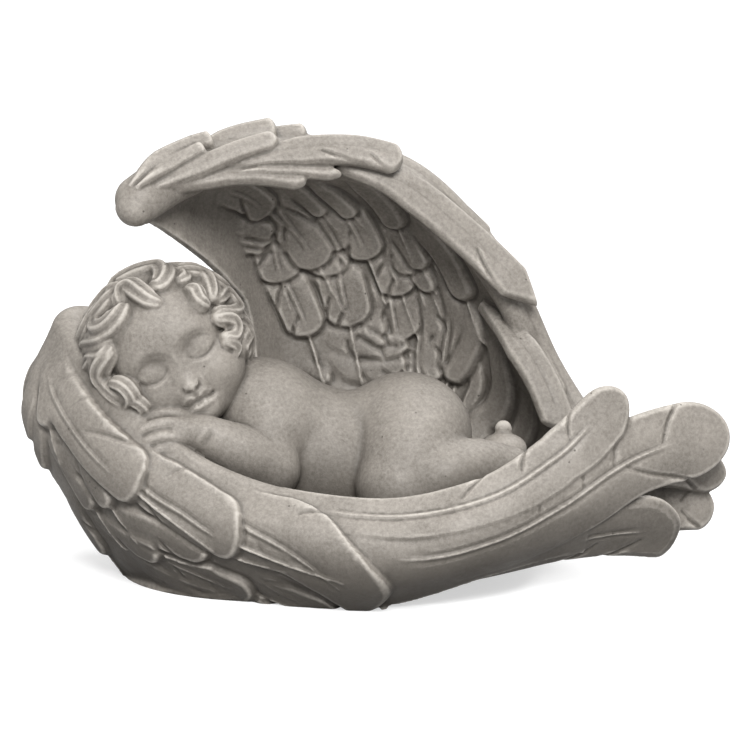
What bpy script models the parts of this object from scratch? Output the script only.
"""A sleeping cherub cradled in two wings, cast in one piece of plaster. Metres, +Z up.

The near wing is the low front wall of the cradle, the far wing rises behind the child and curls over it.
The origin is on the flat underside. The child's head is towards -X, the feather tips towards +X.
"""

import math

import bmesh
import bpy
import numpy as np
from mathutils import Matrix, Vector

# Driving dimensions of the casting
LENGTH = 0.300
NEAR_WALL = (0.0150, 0.0160, 0.0150, 0.0120, 0.0100, 0.0095, 0.0095, 0.0095, 0.0095, 0.0085)
FAR_WALL = (0.0045, 0.0080, 0.0095, 0.0095, 0.0095, 0.0095, 0.0095, 0.0090, 0.0080)
FLOOR_HEIGHT = 0.026
FEATHER_LIFT = 0.0034
WALL_SINK = 0.0014
TIP_WALL = 0.0080
CREST_RADII = (0.0110, 0.0105, 0.0095, 0.0085, 0.0075, 0.0066, 0.0058, 0.0050, 0.0044)

# Free forms are drawn in units of a 300th of the length, which is a millimetre at full size
UNIT = LENGTH / 300

# How finely the joined casting is drawn
CHILD_GRAIN = 0.0018
CHILD_SMOOTHING_ROUNDS = 7
GRAIN = 0.0014
SMOOTHING_ROUNDS = 2
TRIANGLES = 9700
FACE_REACH = 0.026
FACE_FACTOR = 0.15

PLASTER = (0.36, 0.335, 0.305, 1.0)
PLASTER_ROUGHNESS = 0.8

# Near wing: rows run from behind the head round the left end to the right tips, each from rim to base
NEAR_NET = (
    ((-60, 60, 74), (-62, 66, 52), (-58, 62, 24), (-50, 50, -2)),
    ((-118, 38, 100), (-128, 42, 68), (-114, 34, 28), (-92, 22, -2)),
    ((-139, 8, 106), (-151, 4, 73), (-135, 0, 34), (-109, -6, 0)),
    ((-118, -28, 89), (-123, -34, 59), (-111, -34, 25), (-91, -34, 0)),
    ((-94, -44, 70), (-94, -54, 47), (-90, -52, 22), (-76, -46, 0)),
    ((-67, -57, 55), (-66, -66, 37), (-65, -63, 19), (-59, -50, -1)),
    ((-32, -67, 47), (-31, -78, 34), (-31, -76, 18), (-32, -62, -1)),
    ((9, -72, 45), (9, -84, 31), (9, -82, 16), (7, -66, 1)),
    ((46, -70, 53), (47, -80, 38), (46, -76, 24), (46, -60, 12)),
    ((73, -62, 70), (75, -70, 47), (75, -65, 30), (74, -50, 18)),
    ((99, -50, 87), (104, -57, 56), (104, -52, 34), (102, -40, 20)),
    ((146, -30, 80), (149, -36, 60), (148, -33, 38), (146, -25, 19)),
)
NEAR_WALL_END = 0.86

# Far wing: rows run from the shoulder over the child to the right end, each from crest to base
FAR_NET = (
    ((-107, -8, 156), (-89, 14, 145), (-64, 42, 119), (-54, 57, 92), (-50, 50, 8)),
    ((-84, 12, 169), (-73, 38, 153), (-58, 57, 126), (-47, 65, 88), (-46, 54, 1)),
    ((-54, 22, 176), (-53, 48, 158), (-48, 64, 124), (-39, 70, 78), (-38, 55, -2)),
    ((-20, 26, 173), (-20, 50, 154), (-22, 66, 122), (-21, 70, 78), (-14, 54, -2)),
    ((10, 28, 165), (7, 52, 146), (1, 66, 115), (-2, 70, 74), (6, 53, -2)),
    ((34, 31, 144), (28, 52, 128), (19, 66, 102), (15, 68, 70), (26, 51, -1)),
    ((55, 31, 115), (47, 50, 102), (38, 62, 80), (33, 64, 57), (42, 48, 1)),
    ((71, 28, 82), (64, 44, 70), (58, 54, 54), (53, 56, 40), (56, 42, 3)),
    ((90, 14, 54), (85, 30, 45), (79, 40, 36), (73, 44, 27), (70, 33, 6)),
)

# Feathers carved on a wing: the path of the quill over the net as shares of it, the width, how far it is raised
NEAR_FEATHERS = (
    (((0.34, 0.93), (0.515, 1.00)), 10, 0),
    (((0.46, 0.68), (0.584, 0.97)), 13, 0),
    (((0.27, 0.79), (0.45, 0.97)), 11, 0.2),
    (((0.32, 0.77), (0.49, 0.84)), 13, 0.4),
    (((0.22, 0.56), (0.224, 0.88)), 11, 0.2),
    (((0.24, 0.62), (0.355, 0.72)), 11, 0.5),
    (((0.27, 0.56), (0.35, 0.57), (0.44, 0.62)), 12, 0.8),
    (((0.234, 0.30), (0.265, 0.58)), 12, 0.4),
    (((0.245, 0.27), (0.30, 0.505)), 9, 0.5),
    (((0.21, 0.19), (0.212, 0.55)), 11, 0.5),
    (((0.18, 0.11), (0.19, 0.46)), 10, 0.3),
    (((0.21, 0.05), (0.23, 0.32)), 9, 1.0),
    (((0.455, 0.12), (0.55, 0.50), (0.628, 0.94)), 24, 1.2),
    (((0.31, 0.12), (0.40, 0.30), (0.487, 0.49)), 22, 1.8),
    (((0.19, -0.04), (0.27, 0.17), (0.344, 0.374)), 21, 2.4),
)
# The long tips at the right stand free of the wall, so they are nearly as thick as it
NEAR_TIPS = (
    (((0.60, 0.80), (0.72, 0.88), (0.82, 0.85), (0.90, 0.80), (0.975, 0.83)), 31, -1.8),
    (((0.573, 0.39), (0.704, 0.53), (0.875, 0.325), (0.995, 0.20)), 31, 0),
    (((0.52, 0.06), (0.66, 0.10), (0.80, 0.09), (0.916, 0.04)), 23, 1.2),
)
FAR_FEATHERS = (
    (((0.25, 0.58), (0.311, 0.694)), 14, 0),
    (((0.30, 0.72), (0.45, 0.78), (0.604, 0.722)), 12, 0),
    (((0.33, 0.67), (0.47, 0.70), (0.611, 0.669)), 12, 0.4),
    (((0.47, 0.44), (0.613, 0.629)), 19, 0.2),
    (((0.36, 0.48), (0.462, 0.645)), 19, 0.5),
    (((0.27, 0.53), (0.345, 0.691)), 18, 0.4),
    (((0.61, 0.40), (0.725, 0.604)), 12, 0.2),
    (((0.45, 0.32), (0.588, 0.449)), 14, 0.5),
    (((0.321, 0.38), (0.397, 0.51)), 14, 0.7),
    (((0.225, 0.50), (0.316, 0.508)), 12, 0.6),
    (((0.375, 0.27), (0.476, 0.424)), 14, 0.8),
    (((0.277, 0.28), (0.368, 0.489)), 16, 1.0),
    (((0.171, 0.40), (0.266, 0.43)), 10, 0.5),
    (((0.47, 0.26), (0.601, 0.343)), 11, 0.8),
    (((0.34, 0.20), (0.423, 0.293)), 10, 0.8),
    (((0.30, 0.24), (0.363, 0.318)), 10, 1.0),
    (((0.187, 0.22), (0.265, 0.318)), 12, 0.8),
    (((0.62, 0.25), (0.744, 0.346), (0.758, 0.467), (0.739, 0.626)), 13, 0.4),
    (((0.71, 0.16), (0.832, 0.343), (0.843, 0.514), (0.812, 0.775)), 16, 0.6),
    (((0.52, 0.25), (0.705, 0.259)), 13, 1.0),
    (((0.79, 0.03), (0.90, 0.10), (0.947, 0.30)), 15, 1.0),
    (((0.40, 0.12), (0.516, 0.255)), 10, 1.6),
)
# The sides that face away have plainer rows: how many rows and feathers, and the size of one
BEHIND_NEAR_ROWS = 3
BEHIND_NEAR_COUNT = 4
BEHIND_FAR_ROWS = 4
BEHIND_FAR_COUNT = 6
BEHIND_WIDTH = 19
ROOT_DEPTH = 2.2

# Free feathers along the crest of the far wing: quill, width, thickness, how pointed the tip is
CREST_FEATHERS = (
    (((-98, 0, 164), (-88, 10, 173), (-77, 16, 178), (-65, 19, 182)), 9, 7, 0.3),
    (((-90, 10, 171), (-74, 20, 179), (-59, 25, 184), (-45, 27, 186)), 10, 7, 0.2),
    (((-60, 27, 182), (-46, 28, 182), (-32, 30, 182)), 10, 7, 0.0),
    (((10, 34, 169), (29, 35, 158), (48, 35, 139)), 17, 6, 0.6),
    (((24, 34, 155), (41, 36, 140), (54, 36, 127)), 13, 6, 0.8),
    (((-101, -5, 162), (-88, 3, 169), (-69, 11, 175), (-46, 17, 182)), 12, 10, 0.2),
    (((-94, 0, 163), (-66, 12, 168), (-32, 15, 165)), 7, 7, 0.2),
    (((-12, 20, 168), (19, 22, 155), (44, 24, 133), (70, 24, 110)), 18, 8, 1.0),
    (((-64, 14, 172), (-37, 17, 175), (-12, 19, 176), (10, 20, 175)), 15, 9, 0.1),
    (((56, 30, 112), (68, 26, 91), (78, 20, 71)), 12, 6, 0.4),
    (((40, 24, 129), (58, 22, 102), (70, 17, 79), (79, 10, 59)), 16, 8, 0.3),
)
CREST_FACING = (0.1, -0.72, 0.55)
BEHIND_TIPS = (
    (((96, -42, 32), (118, -30, 33), (142, -22, 32)), 17, 7, 0.2),
    (((92, -46, 54), (120, -34, 54), (147, -18, 47)), 14, 7, 0.3),
)
BEHIND_FACING = (0.0, -0.95, 0.3)

# The child lies on its front, its head turned to the front and rolled on its cheek
HEAD_CENTRE = (-89, -8, 97)
HEAD_YAW, HEAD_ROLL, HEAD_PITCH = 13, 28, 6
FACE_MIDDLE = (0, 24, -10)
HEAD_BALLS = (
    ((0, -1, 2), (29, 31, 32)),
    ((0, 4, -12), (27, 23, 21)),
    ((14.5, 15, -13), (12, 11, 12)),
    ((-14.5, 15, -13), (12, 11, 12)),
    ((0, 23, -27), (7, 6, 6)),
    ((0, 5, 14), (24, 24, 18)),
    ((11.5, 22.5, -0.5), (6.5, 5.5, 4.6)),
    ((-11.5, 22.5, -0.5), (6.5, 5.5, 4.6)),
    ((0, 30, -13.5), (4.2, 5, 3.8)),
    ((4, 27.5, -14.5), (3, 3.4, 2.8)),
    ((-4, 27.5, -14.5), (3, 3.4, 2.8)),
)
HEAD_ROLLS = (
    (((0, 25, 2), (0, 28, -6), (0, 31, -13)), (2.6, 3, 3.6)),
    (((-6.5, 25, -21.5), (-2.5, 28.5, -20.2), (0, 28.6, -20.6), (2.5, 28.5, -20.2), (6.5, 25, -21.5)), (1, 2, 1.8, 2, 1)),
    (((-5, 25.5, -23.4), (0, 28, -24.4), (5, 25.5, -23.4)), (1.2, 2.4, 1.2)),
)
BODY_BALLS = (
    ((-33, 0, 52), (31, 28, 30)),
    ((-15, 1, 47), (27, 26, 28)),
    ((-47, -2, 72), (18, 18, 17.5)),
    ((11, 4, 60), (25, 27, 25)),
    ((54, 0, 53), (10, 9, 6.5)),
    ((54, 4.5, 60.5), (3.2, 2.6, 3.2)),
    ((-80, -37, 68), (12.5, 8.5, 7.5)),
)
BODY_ROLLS = (
    (((-82, -4, 86), (-66, -2, 78), (-48, 0, 68)), (15, 15, 17)),
    (((-49, -9, 72), (-46, -21, 61), (-44, -30, 50), (-43.5, -33, 46)), (16.5, 14, 11.5, 8)),
    (((-40, -28, 47), (-44, -30, 50), (-57, -35, 58), (-71, -37, 66)), (8, 11.5, 12, 9)),
    (((-78, -37, 70), (-87, -39, 71.5), (-98, -39, 68)), (6, 6, 4)),
    (((18, -4, 60), (14, -16, 52), (9, -25, 42)), (22, 21, 18)),
    (((12, -26, 41), (28, -25, 48), (42, -20, 50), (56, -14, 48), (60, -12, 47)), (15, 13.5, 11.5, 9, 6)),
)

# The solid plaster that the child lies on: a floor that rises to the right, more under its head and behind its back
FLOOR_RADII = (94, 62, 17)
FLOOR_SLOPE = 8
BED_BALLS = (
    ((-79, -4, 30), (46, 50, 37)),
    ((-22, 34, 22), (72, 36, 34)),
)

# Locks of hair: directions from the centre of the head, azimuth and elevation in degrees, then the radius
HAIR_RADII = (32, 32.5, 33)
HAIR_BALL = ((0, -5, 4), (30.5, 29, 31))
LOCKS = (
    (((-19, 51), (-34, 56), (-50, 68), (-16, 74), (5, 58), (2, 44), (-9, 34)), 4.4),
    (((15, 80), (24, 61), (12, 42)), 4.2),
    (((-20, 62), (-44, 48), (-60, 40), (-56, 26), (-48, 12)), 4.4),
    (((-36, 40), (-38, 25), (-42, 12)), 3.2),
    (((-70, 18), (-84, 10), (-80, 3), (-66, 6)), 2.6),
    (((-40, 8), (-55, 3), (-75, -1), (-88, 6)), 3.8),
    (((-40, 2), (-52, -3), (-58, -12), (-46, -17)), 3.0),
    (((-72, -5), (-84, -16), (-60, -24), (-66, -34), (-82, -40)), 3.8),
    (((-56, -14), (-48, -22), (-56, -35)), 3.0),
    (((17, 52), (27, 40), (45, 37), (66, 44)), 5.4),
    (((34, 33), (44, 24), (63, 24), (92, 23)), 4.4),
    (((44, 33), (62, 33), (92, 33)), 3.6),
    (((40, 21), (56, 16), (68, 8), (60, -2), (44, -6)), 4.0),
    (((50, 20), (73, 18), (86, 8), (73, -5)), 3.8),
    (((52, -5), (46, -12), (57, -20), (64, -12)), 2.6),
    (((46, -24), (60, -28), (74, -24)), 3.2),
    (((28, 80), (60, 66), (95, 40), (98, 10)), 4.4),
    (((0, 86), (98, 74), (104, 50), (112, 20)), 4.4),
    (((-60, 62), (-84, 42), (-96, 20), (-98, -10)), 4.4),
)
BACK_LOCKS = 9


def straight_on(t, spans):
    """The first of four net rows and their weights for each share t, running on straight outside 0 to 1."""
    inside = np.clip(t, 0, 1) * spans
    first = np.minimum(inside.astype(int), spans - 1)
    f = inside - first
    past = t * spans - inside
    weights = (
        -0.5 * f + f**2 - 0.5 * f**3 + past * (-0.5 + 2 * f - 1.5 * f**2),
        1 - 2.5 * f**2 + 1.5 * f**3 + past * (-5 * f + 4.5 * f**2),
        0.5 * f + 2 * f**2 - 1.5 * f**3 + past * (0.5 + 4 * f - 4.5 * f**2),
        -0.5 * f**2 + 0.5 * f**3 + past * (-f + 1.5 * f**2),
    )
    return first, np.stack(weights, -1)


def with_ends(rows):
    return np.concatenate([[2 * rows[0] - rows[1]], rows, [2 * rows[-1] - rows[-2]]])


def along(points, t):
    """Points of the smooth curve through the given ones."""
    points = np.asarray(points, float)
    first, weights = straight_on(np.asarray(t, float), len(points) - 1)
    rows = with_ends(points)
    return sum(weights[..., k, None] * rows[first + k] for k in range(4))


def on_net(net, u, v):
    """Points of the smooth surface through a net."""
    net = with_ends(np.asarray(net, float))
    net = with_ends(net.swapaxes(0, 1)).swapaxes(0, 1)
    row, row_weights = straight_on(u, len(net) - 3)
    column, column_weights = straight_on(v, net.shape[1] - 3)
    found = 0
    for i in range(4):
        for j in range(4):
            weight = row_weights[..., i] * column_weights[..., j]
            found = found + weight[..., None] * net[row + i, column + j]
    return found


def slopes_on(net, u, v):
    """How the surface runs with u and with v, and its normal on the carved side."""
    step = 0.002
    with_u = (on_net(net, u + step, v) - on_net(net, u - step, v)) / (2 * step)
    with_v = (on_net(net, u, v + step) - on_net(net, u, v - step)) / (2 * step)
    return with_u, with_v, unit(np.cross(with_v, with_u))


def unit(vectors):
    return vectors / np.linalg.norm(vectors, axis=-1, keepdims=True)


def loft(mesh, rings):
    """A closed skin over rings of points. Its first and last ring are closed straight across, from sheet to sheet."""
    vertices = [[mesh.verts.new(point) for point in ring] for ring in rings]
    for ring, following in zip(vertices, vertices[1:]):
        for k in range(len(ring)):
            mesh.faces.new((ring[k - 1], ring[k], following[k], following[k - 1]))
    for ring, order in ((vertices[0], -1), (vertices[-1], 1)):
        for k in range(len(ring) // 2 - 1):
            across = (ring[k], ring[k + 1], ring[-2 - k], ring[-1 - k])
            mesh.faces.new(across[::order])


def wall(mesh, net, u_to, thicknesses, sink):
    """The plain wall of a wing, a little behind the net that the feathers lie on, with a round rim."""
    u, v = np.meshgrid(np.linspace(0, u_to, 56), np.linspace(0, 1, 18), indexing="ij")
    normal = slopes_on(net, u, v)[2]
    thickness = along(np.reshape(thicknesses, (-1, 1)), u[:, 0] / u_to) / UNIT
    face = on_net(net, u, v) - normal * sink
    back = face - normal * thickness[:, None]
    loft(mesh, np.concatenate([face, back[:, ::-1]], axis=1))
    roll(mesh, (face[::5, 0] + back[::5, 0]) / 2, thickness[::5] / 2)


def feather(mesh, net, quill, width, lift, rise, root_depth, tip_depth):
    """A feather lying on a wing: it rises from its root to a round tip, which stands over what follows."""
    s = np.sin(np.linspace(0, math.pi / 2, 18))[:, None]
    r = np.linspace(-1, 1, 11)[None, :]
    path = along(quill, s[:, 0])
    u, v = path[:, 0], path[:, 1]
    with_u, with_v, normal = slopes_on(net, u, v)
    centre = on_net(net, u, v)
    across = unit(np.cross(normal, np.gradient(centre, axis=0)))
    length = np.linalg.norm(np.diff(centre, axis=0), axis=1).sum()
    tip = min(0.5, 0.55 * width / length)
    half = width / 2 * (0.55 + 0.45 * np.minimum(s / 0.45, 1)) * rounded(s, tip)
    uu, uv, vv = (with_u**2).sum(-1), (with_u * with_v).sum(-1), (with_v**2).sum(-1)
    au, av = (with_u * across).sum(-1), (with_v * across).sum(-1)
    whole = uu * vv - uv**2
    u_grid = u[:, None] + half * r * ((vv * au - uv * av) / whole)[:, None]
    v_grid = v[:, None] + half * r * ((uu * av - uv * au) / whole)[:, None]
    floor = on_net(net, u_grid, v_grid)
    out = slopes_on(net, u_grid, v_grid)[2]
    bulge = (0.6 + 0.05 * width) * (1 - r**2) * np.minimum(half / width * 2.2, 1)
    out_of_wall = np.minimum(s / 0.3, 1) ** 0.7
    height = (ROOT_DEPTH + rise + lift * s**1.3 - 1 + bulge - 0.5 * np.abs(r) ** 5) * out_of_wall - ROOT_DEPTH
    depth = root_depth + (tip_depth - root_depth) * s + 0 * r
    top = floor + out * height[..., None]
    under = floor - out * depth[..., None]
    loft(mesh, np.concatenate([top, under[:, ::-1]], axis=1))


def rounded(s, tip, pointed=0.0):
    """The half width of a feather as a share, full until the tip and round or pointed there."""
    t = np.clip((s - 1 + tip) / tip, 0, 0.999)
    return (1 - pointed) * np.sqrt(1 - t**2) + pointed * (1 - t) ** 0.9


def blade(mesh, quill, width, thickness, pointed, facing):
    """A feather that stands free: thick along the quill and thin at its edges."""
    s = np.sin(np.linspace(0, math.pi / 2, 18))[:, None]
    r = np.linspace(-1, 1, 9)[None, :]
    centre = along(quill, s[:, 0])
    run = unit(np.gradient(centre, axis=0))
    across = unit(np.cross(np.asarray(facing, float), run))
    out = np.cross(run, across)
    length = np.linalg.norm(np.diff(centre, axis=0), axis=1).sum()
    tip = min(0.6, (0.6 + 0.6 * pointed) * width / length)
    half = width / 2 * (0.5 + 0.5 * np.minimum(s / 0.4, 1)) * rounded(s, tip, pointed)
    deep = thickness / 2 * (0.35 + 0.65 * (1 - r**2)) * (0.5 + 0.5 * rounded(s, tip))
    middle = centre[:, None] + across[:, None] * (half * r)[..., None]
    top = middle + out[:, None] * deep[..., None]
    under = middle - out[:, None] * deep[..., None]
    loft(mesh, np.concatenate([top, under[:, ::-1]], axis=1))


def roll(mesh, points, radii):
    """A limb, lock or rim: a round rope through the points with rounded ends."""
    count = 8 * len(points) + 5
    t = (1 - np.cos(np.linspace(0, math.pi, count))) / 2
    path = along(points, t)
    radius = along(np.reshape(radii, (-1, 1)), t)[:, 0]
    reach = np.concatenate([[0], np.cumsum(np.linalg.norm(np.diff(path, axis=0), axis=1))])
    ends = np.minimum(reach, reach[-1] - reach) / radius
    path[0] += (path[0] - path[1]) * 0.01
    curve = bpy.data.curves.new("roll", "CURVE")
    curve.dimensions = "3D"
    curve.bevel_depth = 1
    curve.bevel_resolution = 4
    curve.use_fill_caps = True
    spline = curve.splines.new("POLY")
    spline.points.add(count - 1)
    spline.points.foreach_set("co", np.c_[path, np.ones(count)].ravel())
    spline.points.foreach_set("radius", radius * np.sqrt(1 - np.clip(1 - ends, 0, 0.97) ** 2))
    holder = bpy.data.objects.new("roll", curve)
    made = bpy.data.meshes.new_from_object(holder)
    mesh.from_mesh(made)
    bpy.data.objects.remove(holder)
    bpy.data.curves.remove(curve)
    bpy.data.meshes.remove(made)


def ball(mesh, centre, radii, turn=Matrix.Identity(4)):
    place = Matrix.Translation(centre) @ turn @ Matrix.Diagonal((*radii, 1))
    bmesh.ops.create_uvsphere(mesh, u_segments=32, v_segments=20, radius=1, matrix=place)


def object_of(name, mesh, collection):
    made = bpy.data.meshes.new(name)
    mesh.to_mesh(made)
    mesh.free()
    obj = bpy.data.objects.new(name, made)
    collection.objects.link(obj)
    return obj


def applied(obj):
    """The object's mesh with its modifiers worked in, after which the object is gone."""
    bpy.context.view_layer.update()
    made = bpy.data.meshes.new_from_object(obj.evaluated_get(bpy.context.evaluated_depsgraph_get()))
    bpy.data.objects.remove(obj)
    return made


def fused(mesh, grain, rounds, collection):
    """Overlapping closed forms made one skin."""
    obj = object_of("forms", mesh, collection)
    remesh = obj.modifiers.new("Fuse", "REMESH")
    remesh.mode = "VOXEL"
    remesh.voxel_size = grain
    smooth = obj.modifiers.new("Smooth", "SMOOTH")
    smooth.factor = 0.5
    smooth.iterations = rounds
    return applied(obj)


def largest_body(mesh):
    """Takes away every loose part but the one with most vertices."""
    left = set(mesh.verts)
    bodies = []
    while left:
        start = left.pop()
        body, edge = {start}, [start]
        while edge:
            for link in edge.pop().link_edges:
                for vertex in link.verts:
                    if vertex in left:
                        left.remove(vertex)
                        body.add(vertex)
                        edge.append(vertex)
        bodies.append(body)
    bodies.sort(key=len)
    spare = [vertex for body in bodies[:-1] for vertex in body]
    bmesh.ops.delete(mesh, geom=spare, context="VERTS")


# An empty scene with a collection for the casting and one for the cutter
for old in list(bpy.data.objects):
    bpy.data.objects.remove(old, do_unlink=True)
casting_collection = bpy.data.collections.new("Cherub in wings")
cutter_collection = bpy.data.collections.new("Cutters")
bpy.context.scene.collection.children.link(casting_collection)
bpy.context.scene.collection.children.link(cutter_collection)

# The child's head, body and limbs, run together softly
head_turn = Matrix.Rotation(math.radians(HEAD_YAW), 4, "Z") @ Matrix.Rotation(-math.radians(HEAD_ROLL), 4, "Y")
head_turn = head_turn @ Matrix.Rotation(-math.radians(HEAD_PITCH), 4, "X") @ Matrix.Rotation(math.pi, 4, "Z")
head_place = Matrix.Translation(HEAD_CENTRE) @ head_turn


def from_head(point):
    return tuple(head_place @ Matrix.Translation(point).to_translation())


child = bmesh.new()
for centre, radii in HEAD_BALLS:
    ball(child, from_head(centre), radii, head_turn)
for points, radii in HEAD_ROLLS:
    roll(child, [from_head(point) for point in points], radii)
for centre, radii in BODY_BALLS:
    ball(child, centre, radii)
for points, radii in BODY_ROLLS:
    roll(child, points, radii)
child_skin = fused(child, CHILD_GRAIN / UNIT, CHILD_SMOOTHING_ROUNDS, casting_collection)

# The hair: a cap over the skull and locks laid on it
hair = bmesh.new()
ball(hair, from_head(HAIR_BALL[0]), HAIR_BALL[1], head_turn)


def on_hair(azimuth, elevation):
    a, e = math.radians(azimuth), math.radians(elevation)
    direction = np.array((math.sin(a) * math.cos(e), math.cos(a) * math.cos(e), math.sin(e)))
    return from_head(direction * HAIR_RADII)


for directions, radius in LOCKS:
    taper = along([[1.0], [1.0], [0.55]], np.linspace(0, 1, len(directions)))[:, 0] * radius
    roll(hair, [on_hair(*direction) for direction in directions], taper)
for k in range(BACK_LOCKS):
    azimuth = 95 + 170 * k / (BACK_LOCKS - 1)
    waves = [(azimuth + 9 * (-1) ** step, 74 - 24 * step) for step in range(6)]
    roll(hair, [on_hair(*wave) for wave in waves], (3, 5, 5, 5, 5, 3))

# The two wings, their rims, the floor between them and the feathers
wings = bmesh.new()
lift, sink, tip_wall = FEATHER_LIFT / UNIT, WALL_SINK / UNIT, TIP_WALL / UNIT
wall(wings, NEAR_NET, NEAR_WALL_END, NEAR_WALL, sink)
wall(wings, FAR_NET, 1, FAR_WALL, sink)
floor_turn = Matrix.Rotation(-math.radians(FLOOR_SLOPE), 4, "Y")
ball(wings, (-18, 0, FLOOR_HEIGHT / UNIT - FLOOR_RADII[2]), FLOOR_RADII, floor_turn)
for centre, radii in BED_BALLS:
    ball(wings, centre, radii)
roll(wings, [row[0] for row in FAR_NET], np.array(CREST_RADII) / UNIT)
for quill, width, rise in NEAR_FEATHERS:
    feather(wings, NEAR_NET, quill, width, lift, rise, 3, 3)
for quill, width, rise in NEAR_TIPS:
    feather(wings, NEAR_NET, quill, width, lift / 2, rise, tip_wall, tip_wall / 2)
for quill, width, rise in FAR_FEATHERS:
    feather(wings, FAR_NET, quill, width, lift * 0.8, rise, 3, 3)
for quill, width, deep, pointed in CREST_FEATHERS:
    blade(wings, quill, width, deep, pointed, CREST_FACING)
for quill, width, deep, pointed in BEHIND_TIPS:
    blade(wings, quill, width, deep, pointed, BEHIND_FACING)

# Rows of feathers on the sides that face away
for row in range(BEHIND_NEAR_ROWS):
    for k in range(BEHIND_NEAR_COUNT):
        u, v = 0.012 + 0.041 * k + 0.02 * (row % 2), 0.02 + 0.24 * row
        feather(wings, NEAR_NET, ((u, v), (u + 0.006, v + 0.36)), BEHIND_WIDTH - 4, lift, -0.3 * row, 3, 3)
u, v = np.meshgrid(np.linspace(1, 0, 12), np.linspace(0, 1, 7), indexing="ij")
far_wall = along(np.reshape(FAR_WALL, (-1, 1)), u[:, 0]) / UNIT
back_net = on_net(FAR_NET, u, v) - slopes_on(FAR_NET, u, v)[2] * (far_wall + sink)[:, None]
for row in range(BEHIND_FAR_ROWS):
    for k in range(BEHIND_FAR_COUNT):
        u, v = 0.93 - 0.135 * k - 0.06 * (row % 2), 0.06 + 0.2 * row
        feather(wings, back_net, ((u, v), (u - 0.10, v + 0.27)), BEHIND_WIDTH, lift, -0.3 * row, 3, 3)

# One skin over everything, drawn again with fewer faces
hair_mesh = bpy.data.meshes.new("hair")
hair.to_mesh(hair_mesh)
wings.from_mesh(hair_mesh)
wings.from_mesh(child_skin)
skin = bmesh.new()
skin.from_mesh(fused(wings, GRAIN / UNIT, SMOOTHING_ROUNDS, casting_collection))
largest_body(skin)
bmesh.ops.triangulate(skin, faces=skin.faces[:])
dense_faces = len(skin.faces)
face_middle = head_place @ Vector(FACE_MIDDLE)
near_face = [v.index for v in skin.verts if (v.co - face_middle).length < FACE_REACH / UNIT]
dense = object_of("dense", skin, casting_collection)
dense.vertex_groups.new(name="Face").add(near_face, 0.9, "REPLACE")
fewer = dense.modifiers.new("Fewer faces", "DECIMATE")
fewer.ratio = TRIANGLES / dense_faces
fewer.vertex_group = "Face"
fewer.invert_vertex_group = True
fewer.vertex_group_factor = FACE_FACTOR
casting = bpy.data.objects.new("cherub_in_wings", applied(dense))
casting.data.transform(Matrix.Scale(UNIT, 4))
casting_collection.objects.link(casting)

# The underside is cut flat
ground = bmesh.new()
bmesh.ops.create_cube(ground, size=1)
ground.transform(Matrix.Translation((0, 0, -LENGTH / 8)) @ Matrix.Diagonal((2 * LENGTH, 2 * LENGTH, LENGTH / 4, 1)))
ground_cutter = object_of("ground_cutter", ground, cutter_collection)
ground_cutter.display_type = "WIRE"
ground_cutter.hide_render = True
flat = casting.modifiers.new("Flat underside", "BOOLEAN")
flat.operation = "DIFFERENCE"
flat.solver = "EXACT"
flat.object = ground_cutter

# The one material of the casting
plaster = bpy.data.materials.new("Plaster")
plaster.use_nodes = True
principled = plaster.node_tree.nodes["Principled BSDF"]
principled.inputs["Base Color"].default_value = PLASTER
principled.inputs["Roughness"].default_value = PLASTER_ROUGHNESS
casting.data.materials.clear()
casting.data.materials.append(plaster)
